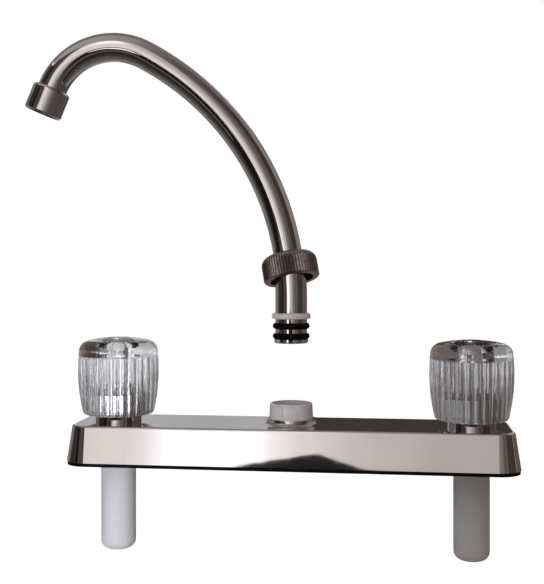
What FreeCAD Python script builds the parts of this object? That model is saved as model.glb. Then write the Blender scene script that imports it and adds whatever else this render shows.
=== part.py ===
import FreeCAD, Part
import math
import os

# Kitchen mixer tap for a two-hole deck: a drafted cover with two turning knobs,
# and a gooseneck spout shown lifted out of its socket.
# Millimetres. The origin is on the deck, midway between the two inlets. +Z is up,
# +X is to the right of someone facing the tap, and -Y is the front.

# Clearances
running_clearance = 0.05
thread_clearance = 0.12
loose_clearance = 0.4
seat_gap = 0.05
cut_overrun = 1.0

# Deck cover and its gasket
inlet_centres = 203.2
cover_end_overhang = 25.4
cover_depth = 57.0
cover_height = 20.4
cover_wall = 1.8
cover_draft_angle = 9.0
cover_corner_radius = 13.0
cover_edge_radius = 1.5
gasket_thickness = 2.0
gasket_width = 5.0
gasket_inset = 0.4
gasket_bridge = 16.0
boss_height = 3.0
boss_spread = 3.2
boss_rim = 0.8

# Brass waterway under the cover
waterway_lift = 2.6
valve_body_radius = 13.0
valve_body_floor = 2.8
neck_radius = 10.4
neck_height = 4.6
shank_radius = 8.33
shank_length = 50.6
shank_chamfer = 0.9
inlet_bore_radius = 4.6
chamber_radius = 7.8
seat_ring_height = 0.8
seat_ring_width = 0.9
cross_tube_radius = 5.0
cross_tube_wall = 1.0
cross_tube_engagement = 3.6
tee_radius = 15.2
tee_chamber_radius = 7.5
tee_web = 0.6

# Socket that takes the spout
socket_radius = 12.6
socket_rim_radius = 12.1
socket_stand = 8.8
socket_lip_radius = 1.1
socket_port_radius = 6.0
socket_floor_gap = 0.6

# Caps pushed over the threaded shanks
cap_wall = 1.35
cap_end_wall = 1.6
cap_end_room = 2.4
cap_end_radius = 5.0
cap_mouth_level = 1.0

# Valve headworks
spindle_radius = 4.0
spindle_square = 5.6
spindle_square_length = 11.4
spindle_screw_radius = 3.0
spindle_flange_radius = 5.4
spindle_flange_height = 1.2
spindle_seal_section = 1.8
bonnet_flange_radius = 9.9
bonnet_flange_height = 1.2
bonnet_skirt_wall_level = 7.3
plug_width = 11.0
plug_height = 8.0
plug_bore_depth = 7.2
plug_lift = 3.0
washer_radius = 6.0
washer_height = 2.0
collar_radius = 13.3
collar_lip_height = 1.2
collar_lip_radius = 7.6
collar_edge_radius = 0.9
shroud_radius = 11.2
shroud_wall = 1.4
shroud_reach = 12.6
shroud_rounding = 0.6

# Knob
knob_gap = 4.0
knob_height = 44.6
knob_foot_radius = 20.3
knob_belly_radius = 23.4
knob_belly_height = 26.0
knob_crown_drop = 3.0
knob_shoulder_radius = 6.5
knob_foot_rounding = 2.2
knob_hollow_radius = 15.6
knob_crown_height = 11.4
knob_post_radius = 8.4
knob_post_clearance = 3.6
flute_count = 22
flute_radius = 2.1
insert_radius = 6.4
insert_height = 12.0
screw_radius = 2.0
screw_head_radius = 3.6
screw_head_height = 2.4
screw_length = 9.0
screw_slot_width = 0.9
screw_slot_depth = 1.0
button_radius = 6.0
button_height = 2.2
button_crown = 0.5

# Spout: sleeve, rings, tube and outlet
spout_lift = 48.0
spout_heading = 7.0
sleeve_radius = 9.1
sleeve_tip_radius = 9.7
sleeve_bend_angle = 5.7
sleeve_below_landing = 13.8
sleeve_bore_radius = 6.2
sleeve_edge_chamfer = 0.6
retaining_ring_radius = 11.1
retaining_ring_height = 3.4
retaining_ring_depth = 2.7
retaining_ring_split = 1.4
retaining_ring_top_rounding = 1.5
retaining_ring_foot_rounding = 0.9
seal_section = 3.6
seal_reach = 10.6
upper_seal_drop = 4.0
lower_seal_drop = 9.8
tube_radius = 8.25
tube_wall = 1.0
tube_seat_height = 5.0
bend_start_height = 12.3
rise_bend_radius = 156.9
rise_bend_angle = 62.3
crest_bend_radius = 38.0
crest_bend_angle = 95.6
tube_end_length = 8.2
ferrule_wall = 0.9
ferrule_length = 6.5
housing_radius = 10.7
housing_length = 15.4
housing_top_rounding = 2.0
housing_mouth_chamfer = 0.8
housing_lip_height = 1.4
housing_lip_depth = 0.9
outlet_washer_height = 1.6
outlet_washer_bore = 6.0
outlet_insert_height = 3.6
outlet_insert_hole_radius = 0.85
outlet_insert_rings = 3
outlet_screen_height = 0.6
outlet_screen_slots = 9

# Coupling nut, hanging askew on the first bend
nut_radius = 16.0
nut_height = 14.4
nut_lip_height = 2.0
nut_hole_radius = 10.3
nut_thread_radius = 12.4
nut_shoulder_radius = 5.0
nut_foot_chamfer = 0.7
nut_ridge_count = 60
nut_ridge_depth = 0.45
nut_rest_angle = 8.4
nut_lean_sideways = 9.5
nut_lean_back = 15.5
nut_rest_offset = 1.1

# Sizes that follow from those above
cover_length = inlet_centres + 2 * cover_end_overhang

# Levels above the deck
cover_foot = gasket_thickness
cover_top = cover_foot + cover_height
cover_ceiling = cover_top - cover_wall
waterway_foot = waterway_lift
shank_end = waterway_foot - shank_length
chamber_floor = waterway_foot + valve_body_floor
seat_level = chamber_floor + seat_ring_height
cross_tube_level = seat_level + cross_tube_radius - cross_tube_wall
neck_top = cover_top + neck_height
bonnet_top = neck_top + bonnet_flange_height
collar_top = bonnet_top + collar_lip_height
washer_foot = seat_level + seat_gap
plug_foot = washer_foot + washer_height
plug_top = plug_foot + plug_height
flange_foot = plug_top + plug_lift + loose_clearance
flange_top = flange_foot + spindle_flange_height
spindle_foot = plug_foot + plug_height - plug_bore_depth + plug_lift + loose_clearance
bonnet_foot = seat_level + bonnet_skirt_wall_level
knob_foot = cover_top + knob_gap
shroud_top = knob_foot + shroud_reach
insert_foot = knob_foot + knob_post_clearance
insert_top = insert_foot + insert_height
knob_top = knob_foot + knob_height
socket_top = cover_top + boss_height + socket_stand
socket_foot = cross_tube_level + cross_tube_radius + tee_web
socket_bore_radius = seal_reach + running_clearance
socket_bore_floor = socket_top - sleeve_below_landing - socket_floor_gap
landing_level = socket_top + spout_lift
cap_bore_radius = shank_radius + loose_clearance
cap_radius = cap_bore_radius + cap_wall
cap_foot = shank_end - cap_end_room - cap_end_wall

up = FreeCAD.Vector(0, 0, 1)
origin = FreeCAD.Vector(0, 0, 0)


def point(x, y, z):
    return FreeCAD.Vector(x, y, z)


def turned(outline):
    """Solid turned about the Z axis from a closed outline of (radius, level) corners."""
    corners = [point(radius, 0, level) for radius, level in outline]
    wire = Part.makePolygon(corners + corners[:1])
    return Part.Face(wire).revolve(origin, up, 360)


def turned_edges(edges):
    """Solid turned about the Z axis from the edges of a closed outline."""
    return Part.Face(Part.Wire(edges)).revolve(origin, up, 360)


def disc(radius, low, high):
    return Part.makeCylinder(radius, high - low, point(0, 0, low))


def line(start, end):
    return Part.LineSegment(point(start[0], 0, start[1]), point(end[0], 0, end[1])).toShape()


def arc(start, middle, end):
    places = [point(radius, 0, level) for radius, level in (start, middle, end)]
    return Part.Arc(places[0], places[1], places[2]).toShape()


def polygon_prism(sides, across_flats, low, high):
    corner_radius = across_flats / 2 / math.cos(math.pi / sides)
    corners = []
    for index in range(sides):
        angle = 2 * math.pi * (index + 1 / 2) / sides
        corners.append(point(corner_radius * math.cos(angle), corner_radius * math.sin(angle), low))
    face = Part.Face(Part.makePolygon(corners + corners[:1]))
    return face.extrude(up * (high - low))


def rounded_rectangle(length, depth, radius, level):
    """Closed outline with four round corners, flat at one level."""
    half_length = length / 2 - radius
    half_depth = depth / 2 - radius
    corners = [(half_length, half_depth, 0), (-half_length, half_depth, 90),
               (-half_length, -half_depth, 180), (half_length, -half_depth, 270)]
    edges = []
    for index, (x, y, start) in enumerate(corners):
        edges.append(Part.makeCircle(radius, point(x, y, level), up, start, start + 90))
        next_x, next_y, next_start = corners[(index + 1) % len(corners)]
        angle = math.radians(start + 90)
        reach = point(math.cos(angle) * radius, math.sin(angle) * radius, 0)
        edges.append(Part.makeLine(point(x, y, level) + reach, point(next_x, next_y, level) + reach))
    return Part.Wire(edges)


def cover_section(level, margin):
    """Outline of the cover at a level, drawn in by its draft and by a margin."""
    drawn_in = margin + (level - cover_foot) * math.tan(math.radians(cover_draft_angle))
    length = cover_length - 2 * drawn_in
    depth = cover_depth - 2 * drawn_in
    return rounded_rectangle(length, depth, cover_corner_radius - drawn_in, level)


def edges_at(shape, level, radius=None):
    """Edges that lie flat at a level, and at a radius about Z where one is given."""
    found = []
    for edge in shape.Edges:
        box = edge.BoundBox
        flat = abs(box.ZMin - level) < running_clearance and abs(box.ZMax - level) < running_clearance
        if not flat:
            continue
        if radius is None or abs(box.XMax - radius) < running_clearance:
            found.append(edge)
    return found


def at_inlet(shape, side):
    """The piece moved from the Z axis to the left (-1) or right (+1) inlet."""
    moved = shape.copy()
    moved.translate(point(side * inlet_centres / 2, 0, 0))
    return moved


def make_cover():
    shell = Part.makeLoft([cover_section(cover_foot, 0), cover_section(cover_top, 0)], True, True)
    shell = shell.makeFillet(cover_edge_radius, edges_at(shell, cover_top))
    hollow_foot = cover_section(cover_foot - cut_overrun, cover_wall)
    shell = shell.cut(Part.makeLoft([hollow_foot, cover_section(cover_ceiling, cover_wall)], True, True))
    hole = socket_radius + loose_clearance
    boss_top = cover_top + boss_height
    foot = (hole + boss_rim + boss_spread, cover_top)
    crown = (hole + boss_rim, boss_top)
    bend = (crown[0] + boss_spread * (1 - math.sqrt(1 / 2)), boss_top - boss_height * math.sqrt(1 / 2))
    root = cover_top - cover_wall / 2
    outline = [line((0, root), (foot[0], root)), line((foot[0], root), foot), arc(foot, bend, crown),
               line(crown, (0, boss_top)), line((0, boss_top), (0, root))]
    shell = shell.fuse(turned_edges(outline))
    shell = shell.cut(disc(hole, cover_ceiling - cut_overrun, boss_top + cut_overrun))
    for side in (-1, 1):
        neck_hole = disc(neck_radius + loose_clearance, cover_ceiling - cut_overrun, cover_top + cut_overrun)
        shell = shell.cut(at_inlet(neck_hole, side))
    return shell.removeSplitter()


def make_gasket():
    outer = rounded_rectangle(cover_length - 2 * gasket_inset, cover_depth - 2 * gasket_inset,
                              cover_corner_radius - gasket_inset, 0)
    drawn_in = gasket_inset + gasket_width
    inner = rounded_rectangle(cover_length - 2 * drawn_in, cover_depth - 2 * drawn_in,
                              cover_corner_radius - drawn_in, 0)
    ring = Part.Face(outer).extrude(up * gasket_thickness)
    window = Part.Face(inner).extrude(up * gasket_thickness)
    corner = point(-gasket_bridge / 2, -cover_depth / 2, 0)
    bridge = Part.makeBox(gasket_bridge, cover_depth, gasket_thickness, corner)
    return ring.cut(window.cut(bridge))


def tube_along_x(radius, start, end, level):
    length = abs(end - start)
    return Part.makeCylinder(radius, length, point(min(start, end), 0, level), point(1, 0, 0))


def make_valve_body(side):
    body = turned([(0, shank_end), (shank_radius - shank_chamfer, shank_end),
                   (shank_radius, shank_end + shank_chamfer), (shank_radius, waterway_foot),
                   (valve_body_radius, waterway_foot), (valve_body_radius, cover_ceiling),
                   (neck_radius, cover_ceiling), (neck_radius, neck_top), (0, neck_top)])
    seat_radius = inlet_bore_radius + seat_ring_width
    body = body.cut(turned([(0, shank_end - cut_overrun), (inlet_bore_radius, shank_end - cut_overrun),
                            (inlet_bore_radius, seat_level), (seat_radius, seat_level),
                            (seat_radius, chamber_floor), (chamber_radius, chamber_floor),
                            (chamber_radius, neck_top + cut_overrun), (0, neck_top + cut_overrun)]))
    inward = -side
    reach = inward * (valve_body_radius + cut_overrun)
    body = body.cut(tube_along_x(cross_tube_radius - cross_tube_wall, 0, reach, cross_tube_level))
    mouth = inward * (valve_body_radius - cross_tube_engagement)
    socket = tube_along_x(cross_tube_radius + running_clearance, mouth, reach, cross_tube_level)
    return at_inlet(body.cut(socket), side)


def make_tee():
    body = disc(tee_radius, waterway_foot, cover_ceiling)
    body = body.cut(disc(tee_chamber_radius, chamber_floor, cover_ceiling + cut_overrun))
    body = body.cut(disc(socket_radius + thread_clearance, socket_foot, cover_ceiling + cut_overrun))
    reach = tee_radius + cut_overrun
    bore = cross_tube_radius - cross_tube_wall
    body = body.cut(tube_along_x(bore, -reach, reach, cross_tube_level))
    for side in (-1, 1):
        mouth = side * (tee_radius - cross_tube_engagement)
        socket = tube_along_x(cross_tube_radius + running_clearance, mouth, side * reach, cross_tube_level)
        body = body.cut(socket)
    return body


def make_cross_tube(side):
    start = side * (tee_radius - cross_tube_engagement)
    end = side * (inlet_centres / 2 - valve_body_radius + cross_tube_engagement)
    outer = tube_along_x(cross_tube_radius, start, end, cross_tube_level)
    bore = tube_along_x(cross_tube_radius - cross_tube_wall, start - side * cut_overrun,
                        end + side * cut_overrun, cross_tube_level)
    return outer.cut(bore)


def make_socket():
    boss_top = cover_top + boss_height
    body = turned([(0, socket_foot), (socket_radius, socket_foot), (socket_radius, boss_top),
                   (socket_rim_radius, socket_top), (0, socket_top)])
    body = body.makeFillet(socket_lip_radius, edges_at(body, socket_top))
    body = body.cut(disc(socket_bore_radius, socket_bore_floor, socket_top + cut_overrun))
    return body.cut(disc(socket_port_radius, socket_foot - cut_overrun, socket_bore_floor + cut_overrun))


def make_shank_cap(side):
    cap = disc(cap_radius, cap_foot, cap_mouth_level)
    cap = cap.makeFillet(cap_end_radius, edges_at(cap, cap_foot))
    inner_foot = cap_foot + cap_end_wall
    bore = disc(cap_bore_radius, inner_foot, cap_mouth_level + cut_overrun)
    bore = bore.makeFillet(cap_end_radius - cap_wall, edges_at(bore, inner_foot))
    return at_inlet(cap.cut(bore), side)


def make_collar(side):
    ring = disc(collar_radius, cover_top, collar_top)
    ring = ring.makeFillet(collar_edge_radius, edges_at(ring, collar_top))
    ring = ring.cut(disc(neck_radius + thread_clearance, cover_top - cut_overrun, bonnet_top))
    shroud = disc(shroud_radius, bonnet_top, shroud_top)
    shroud = shroud.makeFillet(shroud_rounding, edges_at(shroud, shroud_top))
    ring = ring.fuse(shroud)
    ring = ring.cut(disc(shroud_radius - shroud_wall, collar_top, shroud_top + cut_overrun))
    ring = ring.cut(disc(collar_lip_radius, bonnet_top - cut_overrun, collar_top + cut_overrun))
    return at_inlet(ring, side)


def make_bonnet(side):
    body = turned([(0, bonnet_foot), (chamber_radius - thread_clearance, bonnet_foot),
                   (chamber_radius - thread_clearance, neck_top), (bonnet_flange_radius, neck_top),
                   (bonnet_flange_radius, bonnet_top), (0, bonnet_top)])
    body = body.cut(disc(spindle_radius + running_clearance, bonnet_foot, bonnet_top + cut_overrun))
    flange_room = spindle_flange_radius + loose_clearance
    body = body.cut(disc(flange_room, flange_foot - loose_clearance, flange_top + seat_gap))
    guide = plug_width + 2 * loose_clearance
    return at_inlet(body.cut(polygon_prism(6, guide, bonnet_foot - cut_overrun, flange_foot)), side)


def seal_level():
    return (flange_top + bonnet_top) / 2


def make_spindle(side):
    stem = turned([(0, spindle_foot), (spindle_screw_radius, spindle_foot),
                   (spindle_screw_radius, flange_foot), (spindle_flange_radius, flange_foot),
                   (spindle_flange_radius, flange_top), (spindle_radius, flange_top),
                   (spindle_radius, insert_foot), (0, insert_foot)])
    stem = stem.fuse(polygon_prism(4, spindle_square, insert_foot, insert_foot + spindle_square_length))
    stem = stem.cut(disc(screw_radius, screw_foot() - cut_overrun, insert_top + cut_overrun))
    groove = Part.makeTorus(seal_centre_radius(), spindle_seal_section / 2, point(0, 0, seal_level()))
    return at_inlet(stem.cut(groove), side)


def seal_centre_radius():
    return spindle_radius + running_clearance / 2 - spindle_seal_section / 2


def make_spindle_seal(side):
    ring = Part.makeTorus(seal_centre_radius(), spindle_seal_section / 2, point(0, 0, seal_level()))
    return at_inlet(ring, side)


def make_plug(side):
    body = polygon_prism(6, plug_width, plug_foot, plug_top)
    bore_floor = plug_top - plug_bore_depth
    bore = disc(spindle_screw_radius + running_clearance, bore_floor, plug_top + cut_overrun)
    return at_inlet(body.cut(bore), side)


def make_seat_washer(side):
    return at_inlet(disc(washer_radius, washer_foot, plug_foot), side)


def knob_outline():
    """Edges of the knob's outside, from the foot's middle up over the crown to the axis."""
    swell = knob_belly_radius - knob_foot_radius
    side_radius = (swell ** 2 + knob_belly_height ** 2) / (2 * swell)

    def side_at(height):
        above_belly = height - knob_belly_height
        return knob_belly_radius - side_radius + math.sqrt(side_radius ** 2 - above_belly ** 2)

    edge = (side_at(knob_height - knob_crown_drop), knob_height - knob_crown_drop)
    foot = (knob_foot_radius, 0)
    belly = (knob_belly_radius, knob_belly_height)
    top = (0, knob_height)
    crown_radius = (edge[0] ** 2 + knob_crown_drop ** 2) / (2 * knob_crown_drop)
    lean = math.asin(edge[0] / crown_radius) / 2
    rise = (crown_radius * math.sin(lean), knob_height - crown_radius * (1 - math.cos(lean)))
    return [line(top, (0, 0)), line((0, 0), foot), arc(foot, belly, edge), arc(edge, rise, top)]


def make_knob(side):
    body = turned_edges(knob_outline())
    body = body.makeFillet(knob_foot_rounding, edges_at(body, 0, knob_foot_radius))
    body = body.makeFillet(knob_shoulder_radius, edges_at(body, knob_height - knob_crown_drop))
    ceiling = knob_height - knob_crown_height
    low = -cut_overrun
    hollow = disc(knob_hollow_radius, low, ceiling)
    flute = disc(flute_radius, low, ceiling)
    flute.translate(point(knob_hollow_radius, 0, 0))
    flutes = []
    for index in range(flute_count):
        turned_flute = flute.copy()
        turned_flute.rotate(origin, up, 360 * index / flute_count)
        flutes.append(turned_flute)
    hollow = hollow.fuse(flutes)
    hollow = hollow.cut(disc(knob_post_radius, low - cut_overrun, ceiling + flute_radius))
    body = body.cut(hollow)
    body.translate(point(0, 0, knob_foot))
    body = body.cut(disc(knob_post_radius + cut_overrun, knob_foot - cut_overrun, insert_foot))
    body = body.cut(disc(insert_radius, insert_foot - cut_overrun, insert_top))
    head_room = screw_head_radius + loose_clearance
    body = body.cut(disc(head_room, insert_top - cut_overrun, knob_top + cut_overrun))
    body = body.cut(disc(button_radius, button_foot(), knob_top + cut_overrun))
    return at_inlet(body, side)


def button_foot():
    return knob_top - button_height


def screw_foot():
    return insert_top - screw_length


def make_knob_insert(side):
    body = disc(insert_radius, insert_foot, insert_top)
    socket = polygon_prism(4, spindle_square + 2 * running_clearance, insert_foot - cut_overrun,
                           insert_foot + spindle_square_length + running_clearance)
    body = body.cut(socket)
    screw_hole = disc(screw_radius + thread_clearance, insert_foot, insert_top + cut_overrun)
    return at_inlet(body.cut(screw_hole), side)


def make_knob_screw(side):
    head_top = insert_top + screw_head_height
    screw = turned([(0, screw_foot()), (screw_radius - thread_clearance, screw_foot()),
                    (screw_radius - thread_clearance, insert_top), (screw_head_radius, insert_top),
                    (screw_head_radius, head_top), (0, head_top)])
    slot_end = screw_head_radius + cut_overrun
    slot_corner = point(-slot_end, -screw_slot_width / 2, head_top - screw_slot_depth)
    slot = Part.makeBox(2 * slot_end, screw_slot_width, screw_slot_depth + cut_overrun, slot_corner)
    return at_inlet(screw.cut(slot), side)


def make_button(side):
    edge_level = knob_top - button_crown
    reach = button_radius - thread_clearance
    crown_radius = (reach ** 2 + button_crown ** 2) / (2 * button_crown)
    lean = math.asin(reach / crown_radius) / 2
    middle = (crown_radius * math.sin(lean), knob_top - crown_radius * (1 - math.cos(lean)))
    foot = (reach, button_foot())
    edge = (reach, edge_level)
    outline = [line((0, button_foot()), foot), line(foot, edge), arc(edge, middle, (0, knob_top)),
               line((0, knob_top), (0, button_foot()))]
    return at_inlet(turned_edges(outline), side)


def on_spout(shape):
    """The piece moved from its own landing level to the lifted spout, and turned to its heading."""
    moved = shape.copy()
    moved.rotate(origin, up, spout_heading)
    moved.translate(point(0, 0, landing_level))
    return moved


def bent_bar(radius, angle):
    """Round bar along the start of the tube's first bend."""
    start = Part.Face(Part.Wire(Part.makeCircle(radius, point(0, 0, bend_start_height), up)))
    return start.revolve(point(-rise_bend_radius, 0, bend_start_height), point(0, 1, 0), -angle)


def make_sleeve():
    top = bend_start_height
    tip = -sleeve_below_landing
    tip_top = -lower_seal_drop - seal_section / 2
    overrun_angle = math.degrees(cut_overrun / rise_bend_radius)
    body = turned([(0, tip), (sleeve_tip_radius - sleeve_edge_chamfer, tip),
                   (sleeve_tip_radius, tip + sleeve_edge_chamfer), (sleeve_tip_radius, tip_top),
                   (sleeve_radius, tip_top), (sleeve_radius, top), (0, top)])
    body = body.fuse(bent_bar(sleeve_radius, sleeve_bend_angle)).removeSplitter()
    body = body.cut(disc(sleeve_bore_radius, tip - cut_overrun, top))
    body = body.cut(disc(tube_radius + running_clearance, tube_seat_height, top))
    body = body.cut(bent_bar(tube_radius + running_clearance, sleeve_bend_angle + overrun_angle))
    ring_groove = retaining_ring_radius - retaining_ring_depth - running_clearance
    room = disc(retaining_ring_radius, -seat_gap, retaining_ring_height + seat_gap)
    body = body.cut(room.cut(disc(ring_groove, -seat_gap, retaining_ring_height + seat_gap)))
    for drop in (upper_seal_drop, lower_seal_drop):
        low = -drop - seal_section / 2
        high = -drop + seal_section / 2
        groove = disc(seal_reach, low, high).cut(disc(seal_reach - seal_section, low, high))
        body = body.cut(groove)
    return on_spout(body)


def make_seal_ring(drop):
    centre = seal_reach - seal_section / 2
    return on_spout(Part.makeTorus(centre, seal_section / 2, point(0, 0, -drop)))


def make_retaining_ring():
    ring = disc(retaining_ring_radius, 0, retaining_ring_height)
    ring = ring.makeFillet(retaining_ring_top_rounding, edges_at(ring, retaining_ring_height))
    ring = ring.makeFillet(retaining_ring_foot_rounding, edges_at(ring, 0))
    inside = retaining_ring_radius - retaining_ring_depth
    above = retaining_ring_height + cut_overrun
    ring = ring.cut(disc(inside, -cut_overrun, above))
    slit_corner = point(0, -retaining_ring_split / 2, -cut_overrun)
    slit_length = retaining_ring_radius + cut_overrun
    slit = Part.makeBox(slit_length, retaining_ring_split, above + cut_overrun, slit_corner)
    return on_spout(ring.cut(slit))


def spout_stations():
    """Ends and middles of the tube's two bends, and the way it points at the outlet, in the XZ plane."""
    start = (0, bend_start_height)
    first = math.radians(rise_bend_angle)
    second = math.radians(crest_bend_angle)
    centre = (-rise_bend_radius, bend_start_height)

    def on_rise(angle):
        return (centre[0] + rise_bend_radius * math.cos(angle),
                centre[1] + rise_bend_radius * math.sin(angle))

    join = on_rise(first)
    crest_centre = (join[0] - crest_bend_radius * math.cos(first),
                    join[1] - crest_bend_radius * math.sin(first))

    def on_crest(angle):
        return (crest_centre[0] + crest_bend_radius * math.cos(angle),
                crest_centre[1] + crest_bend_radius * math.sin(angle))

    finish = on_crest(first + second)
    way = (-math.sin(first + second), math.cos(first + second))
    return start, on_rise(first / 2), join, on_crest(first + second / 2), finish, way


def tube_solid(radius, low, high):
    """Round bar along the spout's line, from a level below the bend to a length past it."""
    start, rise, join, crest, finish, way = spout_stations()
    end = (finish[0] + way[0] * high, finish[1] + way[1] * high)
    bends = [arc(start, rise, join), arc(join, crest, finish)]
    path = Part.Wire([line((0, low), start)] + bends + [line(finish, end)])
    ring = Part.Wire(Part.makeCircle(radius, point(0, 0, low), up))
    return path.makePipeShell([ring], True, False)


def make_spout_tube():
    outer = tube_solid(tube_radius, tube_seat_height, tube_end_length)
    bore = tube_radius - tube_wall
    inner = tube_solid(bore, tube_seat_height - cut_overrun, tube_end_length + cut_overrun)
    return on_spout(outer.cut(inner))


def at_outlet(shape):
    """The piece turned from its own axis, with its level 0 at the tube's end, to the outlet's line."""
    start, rise, join, crest, finish, way = spout_stations()
    end = point(finish[0] + way[0] * tube_end_length, 0, finish[1] + way[1] * tube_end_length)
    turn = FreeCAD.Rotation(up, point(-way[0], 0, -way[1]))
    moved = shape.copy()
    moved.Placement = FreeCAD.Placement(end, turn)
    return on_spout(moved)


ferrule_radius = tube_radius + running_clearance + ferrule_wall
outlet_bore_radius = ferrule_radius + thread_clearance
outlet_insert_radius = outlet_bore_radius - thread_clearance
washer_low = -outlet_washer_height
insert_low = washer_low - outlet_insert_height
screen_low = insert_low - outlet_screen_height
housing_foot = screen_low - housing_lip_height
housing_head = housing_foot + housing_length


def make_ferrule():
    bore = disc(tube_radius + running_clearance, -cut_overrun, ferrule_length + cut_overrun)
    return at_outlet(disc(ferrule_radius, 0, ferrule_length).cut(bore))


def make_housing():
    body = disc(housing_radius, housing_foot, housing_head)
    body = body.makeFillet(housing_top_rounding, edges_at(body, housing_head))
    body = body.makeChamfer(housing_mouth_chamfer, edges_at(body, housing_foot))
    body = body.cut(disc(outlet_bore_radius, screen_low, ferrule_length + thread_clearance))
    body = body.cut(disc(tube_radius + loose_clearance, screen_low, housing_head + cut_overrun))
    mouth = disc(outlet_bore_radius - housing_lip_depth, housing_foot - cut_overrun, screen_low)
    return at_outlet(body.cut(mouth))


def make_outlet_washer():
    ring = disc(outlet_insert_radius, washer_low, 0)
    return at_outlet(ring.cut(disc(outlet_washer_bore, washer_low - cut_overrun, cut_overrun)))


def make_outlet_insert():
    body = disc(outlet_insert_radius, insert_low, washer_low)
    pitch = (outlet_insert_radius - outlet_insert_hole_radius) / (outlet_insert_rings + 1 / 2)
    holes = []
    for ring in range(1, outlet_insert_rings + 1):
        for index in range(6 * ring):
            angle = 2 * math.pi * index / (6 * ring)
            hole = disc(outlet_insert_hole_radius, insert_low - cut_overrun, washer_low + cut_overrun)
            hole.translate(point(pitch * ring * math.cos(angle), pitch * ring * math.sin(angle), 0))
            holes.append(hole)
    return at_outlet(body.cut(holes))


def make_outlet_screen():
    body = disc(outlet_insert_radius, screen_low, insert_low)
    clear_radius = outlet_bore_radius - housing_lip_depth - loose_clearance
    pitch = 2 * clear_radius / outlet_screen_slots
    window = disc(clear_radius, screen_low - cut_overrun, insert_low + cut_overrun)
    bars = []
    for index in range(outlet_screen_slots + 1):
        place = -clear_radius + pitch * index
        for turn in (0, 90):
            bar = Part.makeBox(2 * clear_radius, pitch / 4, outlet_screen_height,
                               point(-clear_radius, place - pitch / 8, screen_low))
            bar.rotate(origin, up, turn)
            bars.append(bar)
    mesh = bars[0].fuse(bars[1:])
    return at_outlet(body.cut(window.cut(mesh)))


def make_nut():
    outline = []
    half_ridge = math.pi / nut_ridge_count
    for index in range(nut_ridge_count):
        for place, radius in ((0, nut_radius), (half_ridge, nut_radius - nut_ridge_depth)):
            angle = 2 * half_ridge * index + place
            outline.append(point(radius * math.cos(angle), radius * math.sin(angle), 0))
    body = Part.Face(Part.makePolygon(outline + outline[:1])).extrude(up * nut_height)
    envelope = disc(nut_radius, 0, nut_height)
    envelope = envelope.makeFillet(nut_shoulder_radius, edges_at(envelope, nut_height))
    envelope = envelope.makeChamfer(nut_foot_chamfer, edges_at(envelope, 0))
    body = body.common(envelope)
    lip = nut_height - nut_lip_height
    body = body.cut(disc(nut_thread_radius, -cut_overrun, lip))
    body = body.cut(disc(nut_hole_radius, lip - cut_overrun, nut_height + cut_overrun))
    body.translate(point(0, 0, -lip - nut_lip_height / 2))
    turn = FreeCAD.Rotation(point(0, 1, 0), -nut_lean_sideways)
    turn = turn.multiply(FreeCAD.Rotation(point(1, 0, 0), -nut_lean_back))
    angle = math.radians(nut_rest_angle)
    place = point(rise_bend_radius * (math.cos(angle) - 1), nut_rest_offset,
                  bend_start_height + rise_bend_radius * math.sin(angle))
    body.Placement = FreeCAD.Placement(place, turn).multiply(body.Placement)
    return on_spout(body)


pieces = {
    "deck_cover": make_cover(),
    "base_gasket": make_gasket(),
    "spout_tee": make_tee(),
    "spout_socket": make_socket(),
    "spout_sleeve": make_sleeve(),
    "upper_seal_ring": make_seal_ring(upper_seal_drop),
    "lower_seal_ring": make_seal_ring(lower_seal_drop),
    "retaining_ring": make_retaining_ring(),
    "spout_tube": make_spout_tube(),
    "outlet_ferrule": make_ferrule(),
    "outlet_housing": make_housing(),
    "outlet_washer": make_outlet_washer(),
    "outlet_insert": make_outlet_insert(),
    "outlet_screen": make_outlet_screen(),
    "coupling_nut": make_nut(),
}
for side, name in ((-1, "left"), (1, "right")):
    pieces[name + "_valve_body"] = make_valve_body(side)
    pieces[name + "_cross_tube"] = make_cross_tube(side)
    pieces[name + "_shank_cap"] = make_shank_cap(side)
    pieces[name + "_collar"] = make_collar(side)
    pieces[name + "_bonnet"] = make_bonnet(side)
    pieces[name + "_spindle"] = make_spindle(side)
    pieces[name + "_spindle_seal"] = make_spindle_seal(side)
    pieces[name + "_valve_plug"] = make_plug(side)
    pieces[name + "_seat_washer"] = make_seat_washer(side)
    pieces[name + "_knob"] = make_knob(side)
    pieces[name + "_knob_insert"] = make_knob_insert(side)
    pieces[name + "_knob_screw"] = make_knob_screw(side)
    pieces[name + "_knob_button"] = make_button(side)

os.makedirs("parts", exist_ok=True)
for name, shape in pieces.items():
    print(name, "valid" if shape.isValid() else "not valid", len(shape.Solids), round(shape.Volume, 1))
    shape.exportStep(os.path.join("parts", name + ".step"))
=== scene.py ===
import bpy
import bmesh
import math
import numpy
from mathutils import Matrix, Vector


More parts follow.
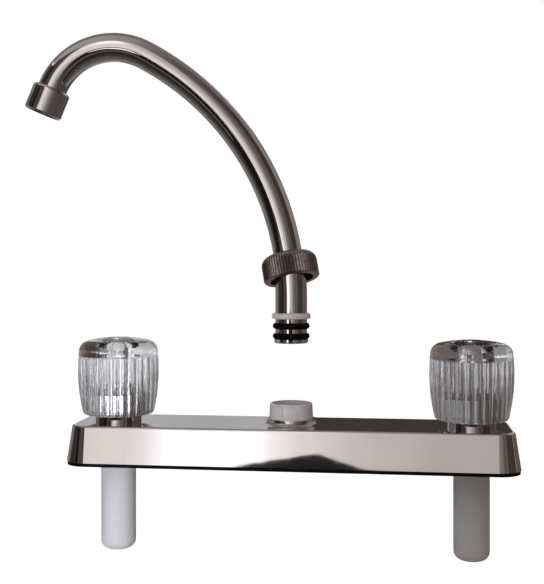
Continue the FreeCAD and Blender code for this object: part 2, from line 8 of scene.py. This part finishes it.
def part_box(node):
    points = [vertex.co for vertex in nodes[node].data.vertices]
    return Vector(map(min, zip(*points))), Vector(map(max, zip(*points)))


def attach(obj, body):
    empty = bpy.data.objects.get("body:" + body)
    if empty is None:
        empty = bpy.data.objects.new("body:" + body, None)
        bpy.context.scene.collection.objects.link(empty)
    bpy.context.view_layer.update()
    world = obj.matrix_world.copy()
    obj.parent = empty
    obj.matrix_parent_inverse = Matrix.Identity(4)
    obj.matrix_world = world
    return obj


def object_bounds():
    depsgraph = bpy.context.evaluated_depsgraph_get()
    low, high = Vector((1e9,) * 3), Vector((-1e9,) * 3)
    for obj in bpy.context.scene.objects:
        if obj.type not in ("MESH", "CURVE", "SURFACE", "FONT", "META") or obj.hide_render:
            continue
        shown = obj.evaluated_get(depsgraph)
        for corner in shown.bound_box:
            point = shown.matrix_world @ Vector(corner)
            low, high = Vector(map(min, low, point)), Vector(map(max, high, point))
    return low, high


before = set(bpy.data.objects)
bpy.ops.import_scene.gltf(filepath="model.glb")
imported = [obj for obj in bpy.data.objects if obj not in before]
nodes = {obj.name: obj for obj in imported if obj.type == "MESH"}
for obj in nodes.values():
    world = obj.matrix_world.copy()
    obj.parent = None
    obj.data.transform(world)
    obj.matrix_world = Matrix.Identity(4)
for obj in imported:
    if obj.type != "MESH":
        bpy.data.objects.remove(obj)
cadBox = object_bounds()
sides = ("left", "right")
scene = bpy.context.scene
print("frame loaded,", len(nodes), "nodes")


class Value:
    # one output socket; sums and products on it add Math nodes
    def __init__(self, finish, socket):
        self.finish = finish
        self.socket = socket

    def maths(self, operation, other):
        return self.finish.node("ShaderNodeMath", {"operation": operation}, {0: self, 1: other})

    def __add__(self, other):
        return self.maths("ADD", other)

    def __sub__(self, other):
        return self.maths("SUBTRACT", other)

    def __mul__(self, other):
        return self.maths("MULTIPLY", other)

    def atMost(self, limit):
        return self.maths("MINIMUM", limit)

    def power(self, exponent):
        return self.maths("POWER", exponent)


class Finish:
    # a material or a world; node() is the one way that nodes are added
    # the Mix node has sockets for numbers, vectors and colours: these are its colour ones
    mixInputs = {"factor": 0, "first": 6, "second": 7}
    mixOutput = 2

    def __init__(self, owner):
        owner.use_nodes = True
        self.owner = owner
        self.tree = owner.node_tree
        self.tree.nodes.clear()

    def node(self, kind, settings=None, inputs=None, output=0):
        made = self.tree.nodes.new(kind)
        for key, value in (settings or {}).items():
            if key == "stops":
                self.setStops(made.color_ramp, value)
            else:
                setattr(made, key, value)
        for key, value in (inputs or {}).items():
            if isinstance(value, Value):
                self.tree.links.new(value.socket, made.inputs[key])
            else:
                made.inputs[key].default_value = value
        return Value(self, made.outputs[output] if made.outputs else None)

    def setStops(self, ramp, stops):
        while len(ramp.elements) < len(stops):
            ramp.elements.new(0.5)
        for element, (place, colour) in zip(ramp.elements, stops):
            element.position = place
            element.color = (*colour, 1)

    def place(self):
        return self.node("ShaderNodeTexCoord", output="Object")

    def noise(self, scale, detail=3, stretch=(1, 1, 1)):
        spot = self.node("ShaderNodeMapping", None, {"Vector": self.place(), "Scale": stretch})
        inputs = {"Vector": spot, "Scale": scale, "Detail": detail}
        return self.node("ShaderNodeTexNoise", None, inputs)

    def mixColour(self, factor, first, second, blend="MIX"):
        given = {"factor": factor, "first": first, "second": second}
        inputs = {self.mixInputs[key]: value for key, value in given.items()}
        settings = {"data_type": "RGBA", "blend_type": blend}
        return self.node("ShaderNodeMix", settings, inputs, self.mixOutput)

    def blendColour(self, factor, low, high):
        return self.mixColour(factor, (*low, 1), (*high, 1))

    def bump(self, height, strength, distance):
        inputs = {"Height": height, "Strength": strength, "Distance": distance}
        return self.node("ShaderNodeBump", None, inputs)

    def surface(self, inputs):
        shader = self.node("ShaderNodeBsdfPrincipled", None, inputs)
        self.link("ShaderNodeOutputMaterial", shader)
        return self.owner

    def link(self, kind, shader):
        self.node(kind, None, {"Surface": shader})


def newFinish(name):
    return Finish(bpy.data.materials.new(name))


# polished plating: faint waves under the shine, dull spots from hard water
chromeLook = {"dark": (0.66, 0.64, 0.63), "light": (0.80, 0.78, 0.765), "shine": 0.03,
              "haze": 0.06, "spotScale": 160, "spotPower": 4, "cloudShare": 0.4,
              "waveScale": 55, "waveDepth": 0.0003, "waveStrength": 0.05}
# the spout tube is more worn than the cover
tubeLook = dict(chromeLook, dark=(0.58, 0.555, 0.545), light=(0.84, 0.82, 0.81), haze=0.2,
                spotScale=230, waveScale=130, waveStrength=0.12)
# the collars get a darker copy of the same plating: painted shade standing in for the dark
# surroundings they reflect
collarShadeLook = dict(chromeLook, dark=(0.46, 0.45, 0.45), light=(0.60, 0.59, 0.59))
# the nut's plating is dull and grainy
nutLook = dict(chromeLook, dark=(0.13, 0.105, 0.09), light=(0.62, 0.55, 0.53), shine=0.3,
               haze=0.3, spotScale=420, waveScale=1900, waveStrength=0.6, waveDepth=0.00025)


def makeChrome(name, look):
    finish = newFinish(name)
    cloud = finish.noise(look["waveScale"] * look["cloudShare"])
    spots = finish.noise(look["spotScale"], detail=5)
    haze = spots.power(look["spotPower"]) * look["haze"]
    wave = finish.noise(look["waveScale"], detail=2)
    return finish.surface({
        "Base Color": finish.blendColour(cloud, look["dark"], look["light"]),
        "Metallic": 1.0,
        "Roughness": haze + look["shine"],
        "Normal": finish.bump(wave, look["waveStrength"], look["waveDepth"])})


chrome = makeChrome("chromePlate", chromeLook)
tubeChrome = makeChrome("tubePlate", tubeLook)
shadedCollarChrome = makeChrome("shadedCollarPlate", collarShadeLook)
nutChrome = makeChrome("nutPlate", nutLook)

# clear moulding with faint upright ripples
acrylicLook = {"low": (0.955, 0.962, 0.968), "high": (0.985, 0.988, 0.99), "cloudScale": 90,
               "clear": 0.035, "haze": 0.07, "index": 1.49, "rippleScale": 300,
               "rippleStretch": (1, 1, 0.12), "rippleStrength": 0.5, "rippleDepth": 0.0005}


def makeAcrylic(name, look):
    finish = newFinish(name)
    cloud = finish.noise(look["cloudScale"])
    ripple = finish.noise(look["rippleScale"], detail=2, stretch=look["rippleStretch"])
    return finish.surface({
        "Base Color": finish.blendColour(cloud, look["low"], look["high"]),
        "Roughness": cloud * look["haze"] + look["clear"],
        "IOR": look["index"],
        "Transmission Weight": 1.0,
        "Normal": finish.bump(ripple, look["rippleStrength"], look["rippleDepth"])})


acrylic = makeAcrylic("clearAcrylic", acrylicLook)

# white mouldings that let a little light in
socketLook = {"low": (0.74, 0.735, 0.74), "high": (0.82, 0.82, 0.825), "rough": 0.34,
              "haze": 0.12, "soft": 0.25, "softRadius": (0.004, 0.004, 0.0038),
              "cloudScale": 45, "grainScale": 900, "grainStrength": 0.12, "grainDepth": 0.0001}
ringLook = dict(socketLook, low=(0.88, 0.875, 0.88), high=(0.95, 0.95, 0.955))
capLook = dict(socketLook, low=(0.60, 0.595, 0.60), high=(0.69, 0.685, 0.69), rough=0.42,
               soft=0.5, grainScale=500)


def makeMoulded(name, look):
    finish = newFinish(name)
    cloud = finish.noise(look["cloudScale"], detail=4)
    grain = finish.noise(look["grainScale"], detail=2)
    return finish.surface({
        "Base Color": finish.blendColour(cloud, look["low"], look["high"]),
        "Roughness": cloud * look["haze"] + look["rough"],
        "Subsurface Weight": look["soft"],
        "Subsurface Radius": look["softRadius"],
        "Subsurface Scale": 1.0,
        "Normal": finish.bump(grain, look["grainStrength"], look["grainDepth"])})


whitePlastic = makeMoulded("socketPlastic", socketLook)
ringPlastic = makeMoulded("ringPlastic", ringLook)
capPlastic = makeMoulded("capPlastic", capLook)

rubberLook = {"low": (0.003, 0.003, 0.0032), "high": (0.009, 0.0085, 0.0085), "rough": 0.38,
              "haze": 0.2, "sheen": 0.04, "smearScale": 120, "grainScale": 1400,
              "grainStrength": 0.15, "grainDepth": 0.0001}


def makeRubber(name, look):
    finish = newFinish(name)
    grain = finish.noise(look["grainScale"])
    smear = finish.noise(look["smearScale"])
    return finish.surface({
        "Base Color": finish.blendColour(smear, look["low"], look["high"]),
        "Specular IOR Level": look["sheen"],
        "Roughness": smear * look["haze"] + look["rough"],
        "Normal": finish.bump(grain, look["grainStrength"], look["grainDepth"])})


rubber = makeRubber("blackRubber", rubberLook)

# turned metal: fine rings round the upright axis, cloudy tarnish
brassLook = {"low": (0.50, 0.34, 0.13), "high": (0.74, 0.56, 0.27), "rough": 0.22, "haze": 0.25,
             "tarnishScale": 70, "turningScale": 300, "turningStretch": (0.15, 0.15, 8),
             "turningStrength": 0.2, "turningDepth": 0.0001}
steelLook = dict(brassLook, low=(0.42, 0.42, 0.43), high=(0.62, 0.62, 0.63), rough=0.25)


def makeTurned(name, look):
    finish = newFinish(name)
    tarnish = finish.noise(look["tarnishScale"], detail=5)
    turning = finish.noise(look["turningScale"], detail=2, stretch=look["turningStretch"])
    return finish.surface({
        "Base Color": finish.blendColour(tarnish, look["low"], look["high"]),
        "Metallic": 1.0,
        "Roughness": tarnish * look["haze"] + look["rough"],
        "Normal": finish.bump(turning, look["turningStrength"], look["turningDepth"])})


brass = makeTurned("plainBrass", brassLook)
steel = makeTurned("screenSteel", steelLook)

finishOf = {"deck_cover": chrome, "base_gasket": rubber, "spout_tee": brass,
            "spout_socket": whitePlastic, "spout_sleeve": chrome, "upper_seal_ring": rubber,
            "lower_seal_ring": rubber, "retaining_ring": ringPlastic, "spout_tube": tubeChrome,
            "outlet_ferrule": brass, "outlet_housing": tubeChrome, "outlet_washer": rubber,
            "outlet_insert": whitePlastic, "outlet_screen": steel, "coupling_nut": nutChrome}
pairFinish = {"valve_body": brass, "cross_tube": brass, "shank_cap": capPlastic,
              "collar": shadedCollarChrome, "bonnet": brass, "spindle": brass, "spindle_seal": rubber,
              "valve_plug": brass, "seat_washer": rubber, "knob": acrylic,
              "knob_insert": whitePlastic, "knob_screw": steel, "knob_button": acrylic}
for side in sides:
    for name, finish in pairFinish.items():
        finishOf[side + "_" + name] = finish
for name, piece in nodes.items():
    piece.data.materials.clear()
    piece.data.materials.append(finishOf[name])
print("finishes on", len(finishOf), "nodes")


def finishPiece(mesh, name, material):
    data = bpy.data.meshes.new(name)
    mesh.to_mesh(data)
    mesh.free()
    piece = bpy.data.objects.new(name, data)
    scene.collection.objects.link(piece)
    data.materials.append(material)
    return piece


# screw thread on each shank, hidden until its cap is pulled off
threadLook = {"root": 0.00825, "crest": 0.00862, "foot": -0.0466, "turns": 24, "pitch": 0.00175,
              "crestShare": 0.45, "widthShare": 0.9, "steps": 36}


def makeThread(side, look):
    mesh = bmesh.new()
    pitch = look["pitch"]
    low = mesh.verts.new((look["root"], 0, look["foot"]))
    tip = mesh.verts.new((look["crest"], 0, look["foot"] + pitch * look["crestShare"]))
    high = mesh.verts.new((look["root"], 0, look["foot"] + pitch * look["widthShare"]))
    for ends in ((low, tip), (tip, high), (high, low)):
        mesh.edges.new(ends)
    bmesh.ops.spin(mesh, geom=mesh.verts[:] + mesh.edges[:], axis=(0, 0, 1),
                   steps=look["turns"] * look["steps"], angle=math.tau * look["turns"],
                   dvec=(0, 0, pitch / look["steps"]))
    ends = [edge for edge in mesh.edges if edge.is_boundary]
    bmesh.ops.holes_fill(mesh, edges=ends, sides=3)
    bmesh.ops.recalc_face_normals(mesh, faces=mesh.faces)
    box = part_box(side + "_shank_cap")
    bmesh.ops.translate(mesh, verts=mesh.verts, vec=((box[0].x + box[1].x) / 2, 0, 0))
    thread = finishPiece(mesh, side + "_shank_thread", brass)
    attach(thread, "base")


for side in sides:
    makeThread(side, threadLook)
print("threads on", len(sides), "shanks")


def seenDirectly(finish):
    outputs = finish.node("ShaderNodeLightPath").socket.node.outputs
    seen = Value(finish, outputs["Is Camera Ray"]) + Value(finish, outputs["Is Glossy Ray"])
    return (seen + Value(finish, outputs["Is Transmission Ray"])).atMost(1.0)


# white surroundings for the eye, for shine and for clear parts; dim warm light for the rest
skyLook = {"light": (1.0, 0.86, 0.80), "strength": 0.205, "white": (1, 1, 1)}


def makeSky(look):
    scene.world = bpy.data.worlds.new("studio")
    finish = Finish(scene.world)
    plain = finish.node("ShaderNodeBackground", None,
                        {"Color": (*look["light"], 1), "Strength": look["strength"]})
    white = finish.node("ShaderNodeBackground", None,
                        {"Color": (*look["white"], 1), "Strength": 1.0})
    both = finish.node("ShaderNodeMixShader", None,
                       {0: seenDirectly(finish), 1: plain, 2: white})
    finish.link("ShaderNodeOutputWorld", both)


makeSky(skyLook)

# pale floor with the object's shadow, far enough down for a pulled cap
floorLook = {"reach": 4.0, "gap": 0.058, "dark": (0.86, 0.86, 0.86), "pale": (0.9, 0.9, 0.9),
             "cloudScale": 30, "glow": 0.5, "strength": 1.88, "white": (1, 1, 1)}


def makeFloor(look):
    finish = newFinish("paleFloor")
    cloud = finish.noise(look["cloudScale"])
    matt = finish.node("ShaderNodeBsdfDiffuse", None,
                       {"Color": finish.blendColour(cloud, look["dark"], look["pale"])})
    glow = finish.node("ShaderNodeEmission", None,
                       {"Color": (*look["white"], 1), "Strength": look["strength"]})
    both = finish.node("ShaderNodeMixShader", None,
                       {0: seenDirectly(finish) * look["glow"], 1: matt, 2: glow})
    finish.link("ShaderNodeOutputMaterial", both)
    mesh = bmesh.new()
    bmesh.ops.create_grid(mesh, x_segments=2, y_segments=2, size=look["reach"])
    bmesh.ops.translate(mesh, verts=mesh.verts, vec=(0, 0, cadBox[0].z - look["gap"]))
    finishPiece(mesh, "floor", finish.owner)


makeFloor(floorLook)

# upright cards that only shiny or clear surfaces see; 0 degrees is in front, 90 to the right
# a card has one tone, or tones at bearings with a smooth change between them
# "sees" says whose card it is: shine alone unless it says clear or both
cards = {
    "frontPale": {
        "start": -24, "end": -2.5, "low": -0.03, "high": 1.7, "away": 1.5,
        "tones": ((-24, (0.88, 0.79, 0.78)), (-18, (0.96, 0.87, 0.87)),
                  (-10, (0.97, 0.885, 0.88)), (-5, (0.92, 0.85, 0.845)),
                  (-2.5, (0.84, 0.78, 0.77)))},
    "frontGlare": {
        "start": -24.5, "end": -4.5, "low": 0.03, "high": 0.1, "away": 0.52,
        "tones": ((-24.5, (0.95, 0.865, 0.865)), (-22.3, (1.08, 1.03, 1.04)),
                  (-20.8, (1.28, 1.26, 1.3)), (-19.4, (1.46, 1.46, 1.48)),
                  (-9.5, (1.46, 1.46, 1.48)), (-4.5, (0.9, 0.835, 0.83)))},
    "frontLamp": {
        "start": -16, "end": -1, "low": 0.72, "high": 1.3, "away": 1.45,
        "tones": ((-16, (0.95, 0.87, 0.865)), (-11, (1.36, 1.34, 1.34)),
                  (-6, (1.36, 1.34, 1.34)), (-1, (0.78, 0.71, 0.70)))},
    "frontGrey": {
        "start": -2.5, "end": 18, "low": -0.03, "high": 1.7, "away": 1.5,
        "tones": ((-2.5, (0.84, 0.78, 0.77)), (-1, (0.77, 0.70, 0.69)),
                  (1.7, (0.67, 0.605, 0.60)), (5.4, (0.62, 0.555, 0.55)),
                  (11, (0.54, 0.49, 0.485)), (18, (0.27, 0.24, 0.235)))},
    "frontBrown": {
        "start": 18, "end": 34, "low": -0.1, "high": 1.5, "away": 1.5,
        "tones": ((18, (0.27, 0.24, 0.235)), (34, (0.17, 0.148, 0.14)))},
    # its top edge is a low hump
    "frontNear": {
        "start": -13, "end": 14, "low": 0.03, "high": 0.071, "away": 0.5,
        "tone": (0.02, 0.016, 0.018),
        "crest": ((-13, 0.05), (-11.4, 0.0565), (-8.2, 0.062), (-4.1, 0.069), (-2, 0.071),
                  (-0.4, 0.067), (2.4, 0.059), (3.3, 0.0565), (9.8, 0.0535), (14, 0.05))},
    "rightShade": {"start": 34, "end": 46, "low": -0.1, "high": 1.4, "away": 1.4,
                   "tone": (0.12, 0.10, 0.09)},
    "rightGlow": {"start": 46, "end": 54, "low": -0.1, "high": 1.4, "away": 1.4,
                  "tone": (0.15, 0.126, 0.12)},
    "rightBrown": {"start": 54, "end": 98, "low": -0.1, "high": 1.2, "away": 1.2,
                   "tone": (0.06, 0.045, 0.038)},
    "backRightLow": {"start": 98, "end": 160, "low": -0.1, "high": 0.2, "away": 0.9,
                     "tone": (0.13, 0.105, 0.09)},
    "backRight": {"start": 98, "end": 160, "low": 0.2, "high": 1.0, "away": 0.9,
                  "tone": (0.28, 0.245, 0.23)},
    "backDark": {"start": 160, "end": 187, "low": -0.1, "high": 0.5, "away": 0.6,
                 "tone": (0.055, 0.044, 0.04), "sees": "both"},
    "backPale": {"start": -173, "end": -150, "low": -0.1, "high": 0.5, "away": 0.6,
                 "tone": (0.44, 0.44, 0.46)},
    "backLeft": {"start": -150, "end": -100, "low": -0.1, "high": 0.9, "away": 0.9,
                 "tone": (0.21, 0.19, 0.185)},
    "leftShade": {"start": -100, "end": -62, "low": -0.1, "high": 1.1, "away": 1.2,
                  "tone": (0.04, 0.034, 0.034)},
    "leftBlack": {"start": -62, "end": -52, "low": -0.1, "high": 1.2, "away": 1.2,
                  "tone": (0.008, 0.006, 0.006)},
    "leftDark": {"start": -52, "end": -30, "low": -0.1, "high": 1.3, "away": 1.3,
                 "tone": (0.085, 0.066, 0.064)},
    "leftGrey": {"start": -30, "end": -24, "low": -0.1, "high": 1.5, "away": 1.4,
                 "tone": (0.13, 0.12, 0.115)},
    "clearLeft": {"start": -150, "end": -20, "low": -0.1, "high": 1.2, "away": 1.1,
                  "tone": (0.45, 0.44, 0.455), "sees": "clear"},
    "clearRight": {"start": 20, "end": 160, "low": -0.1, "high": 1.2, "away": 1.1,
                   "tone": (0.13, 0.105, 0.098), "sees": "clear"},
    "clearBackLow": {"start": -173, "end": -150, "low": -0.1, "high": 0.02, "away": 0.58,
                     "tone": (0.99, 0.98, 1.0), "sees": "clear"},
    "clearBack": {"start": -173, "end": -150, "low": 0.02, "high": 0.6, "away": 0.58,
                  "tone": (0.25, 0.24, 0.245), "sees": "clear"},
    "clearNear": {"start": -12, "end": 42, "low": -0.1, "high": 0.3, "away": 0.4,
                  "tone": (0.22, 0.206, 0.206), "sees": "clear"},
    "clearFront": {
        "start": -20, "end": 20, "low": -0.1, "high": 1.2, "away": 1.1, "sees": "clear",
        "tones": ((-20, (0.98, 0.97, 0.99)), (-4, (0.98, 0.97, 0.98)),
                  (4, (0.42, 0.40, 0.40)), (20, (0.3, 0.28, 0.28)))},
}

# flat cards overhead and at the caps' feet; tones change along X or Y, in metres
ground = cadBox[0].z
flatCards = {
    "ceilingFront": {
        "centre": (0, -0.8, 1.5), "size": (1.6, 0.9), "along": "X", "sees": "both",
        "tones": ((-0.8, (0.42, 0.385, 0.385)), (0.1, (0.34, 0.31, 0.31)),
                  (0.5, (0.14, 0.12, 0.118)), (1.2, (0.05, 0.042, 0.04)))},
    "ceilingBack": {"centre": (0, 0.9, 1.5), "size": (1.6, 0.8), "tone": (0.21, 0.18, 0.18),
                    "sees": "both"},
    "tableFar": {
        "centre": (0, 0, ground), "size": (3.0, 3.0), "along": "X",
        "tones": ((-0.3, (0.012, 0.010, 0.009)), (0.06, (0.014, 0.012, 0.011)),
                  (0.25, (0.07, 0.06, 0.056)), (1.0, (0.11, 0.094, 0.088)))},
    "tableFront": {
        "centre": (0, -0.3, ground + 0.0001), "size": (0.45, 0.22), "along": "Y",
        "tones": ((-0.52, (0.03, 0.026, 0.025)), (-0.35, (0.15, 0.132, 0.128)),
                  (-0.08, (0.20, 0.177, 0.172)))},
    "tableNear": {
        "centre": (-0.35, 0.1, ground + 0.0002), "size": (0.75, 0.42), "along": "Y",
        "tones": ((-0.3, (0.015, 0.013, 0.012)), (-0.1, (0.05, 0.046, 0.045)),
                  (0.1, (0.14, 0.13, 0.127)), (0.36, (0.30, 0.28, 0.27)))},
    "clearTableLeft": {"centre": (-1, 1, ground), "size": (1.0, 1.0),
                       "tone": (0.70, 0.69, 0.71), "sees": "clear"},
    "clearTableRight": {"centre": (1, 1, ground), "size": (1.0, 1.0),
                        "tone": (0.145, 0.133, 0.133), "sees": "clear"},
    "clearTableFront": {"centre": (0, -1, ground), "size": (2.0, 1.0),
                        "tone": (0.25, 0.24, 0.24), "sees": "clear"},
}
cardSteps = 54
cardCloud = {"scale": 3, "stretch": (2.2, 2.2, 0.35), "low": (0.8, 0.8, 0.8),
             "high": (1.2, 1.2, 1.2)}
fullTurn, quarterTurn = 360, 90


def hangCard(mesh, name, look):
    finish = newFinish(name + "Tone")
    tones = look.get("tones") or ((0, look["tone"]), (1, look["tone"]))
    first, last = tones[0][0], tones[-1][0]
    spot = {"Vector": finish.place()}
    if "along" in look:
        measure = finish.node("ShaderNodeSeparateXYZ", None, spot, look["along"])
    else:
        # the radial gradient is a quarter in front, grows to the right and is one for a full turn
        radial = {"gradient_type": "RADIAL"}
        turned = finish.node("ShaderNodeTexGradient", radial, spot, 1)
        measure = turned * fullTurn - quarterTurn
    share = (measure - first) * (1 / (last - first))
    stops = [((place - first) / (last - first), tone) for place, tone in tones]
    tone = finish.node("ShaderNodeValToRGB", {"stops": stops}, {0: share})
    clouds = finish.noise(cardCloud["scale"], stretch=cardCloud["stretch"])
    cloud = finish.blendColour(clouds, cardCloud["low"], cardCloud["high"])
    colour = finish.mixColour(1.0, tone, cloud, "MULTIPLY")
    glow = finish.node("ShaderNodeEmission", None, {"Color": colour})
    finish.link("ShaderNodeOutputMaterial", glow)
    card = finishPiece(mesh, name + "Card", finish.owner)
    sees = look.get("sees", "gloss")
    card.visible_camera = False
    card.visible_diffuse = False
    card.visible_shadow = False
    card.visible_glossy = sees != "clear"
    card.visible_transmission = sees != "gloss"


for name, look in cards.items():
    mesh = bmesh.new()
    foot = mesh.verts.new((0, -look["away"], look["low"]))
    head = mesh.verts.new((0, -look["away"], look["high"]))
    mesh.edges.new((foot, head))
    start = Matrix.Rotation(math.radians(look["start"]), 3, "Z")
    bmesh.ops.rotate(mesh, verts=mesh.verts, matrix=start)
    bmesh.ops.spin(mesh, geom=mesh.verts[:] + mesh.edges[:], axis=(0, 0, 1), steps=cardSteps,
                   angle=math.radians(look["end"] - look["start"]))
    if "crest" in look:
        bearings, heights = zip(*look["crest"])
        for corner in mesh.verts:
            if corner.co.z > heights[0]:
                bearing = math.degrees(math.atan2(corner.co.x, -corner.co.y))
                corner.co.z = numpy.interp(bearing, bearings, heights)
    hangCard(mesh, name, look)
for name, look in flatCards.items():
    mesh = bmesh.new()
    bmesh.ops.create_grid(mesh, x_segments=2, y_segments=2, size=1)
    bmesh.ops.scale(mesh, verts=mesh.verts, vec=(*look["size"], 1))
    bmesh.ops.translate(mesh, verts=mesh.verts, vec=look["centre"])
    hangCard(mesh, name, look)

# the low lamp lights the left cap, which is paler than the right one
lamps = {
    "key": {"place": (-0.35, -0.9, 0.9), "aim": (0, 0, 0.03), "size": 0.6, "spread": 180,
            "power": 2.9, "colour": (1, 0.985, 0.96)},
    "lowLeft": {"place": (-0.09, -0.33, -0.01), "aim": (-0.115, 0, -0.065), "size": 0.14,
                "spread": 64, "power": 0.125, "colour": (0.9, 0.91, 1)},
}
for name, look in lamps.items():
    light = bpy.data.lights.new(name, "AREA")
    light.size = look["size"]
    light.energy = look["power"]
    light.color = look["colour"]
    light.spread = math.radians(look["spread"])
    lamp = bpy.data.objects.new(name, light)
    lamp.location = look["place"]
    aim = Vector(look["aim"]) - lamp.location
    lamp.rotation_euler = aim.to_track_quat("-Z", "Y").to_euler()
    lamp.visible_glossy = False
    lamp.visible_camera = False
    scene.collection.objects.link(lamp)

# level camera, a little to the right; the picture's centre lies below the horizon, in rows
eye = {"azimuth": 7.0, "distance": 0.559, "height": 0.109, "aside": 0.011, "lens": 60.1,
       "sensor": 36, "drop": 20, "rows": 584}
turn = math.radians(eye["azimuth"])
across = Vector((math.cos(turn), math.sin(turn), 0))
back = Vector((math.sin(turn), -math.cos(turn), 0))
rise = Vector((0, 0, eye["height"]))
lensData = bpy.data.cameras.new("eye")
lensData.lens = eye["lens"]
lensData.sensor_width = eye["sensor"]
lensData.shift_y = -eye["drop"] / eye["rows"]
camera = bpy.data.objects.new("eye", lensData)
camera.location = back * eye["distance"] - across * eye["aside"] + rise
camera.rotation_euler = (-back).to_track_quat("-Z", "Y").to_euler()
scene.collection.objects.link(camera)
scene.camera = camera
scene.view_settings.view_transform = "Standard"
print("stage, lamps and camera set")
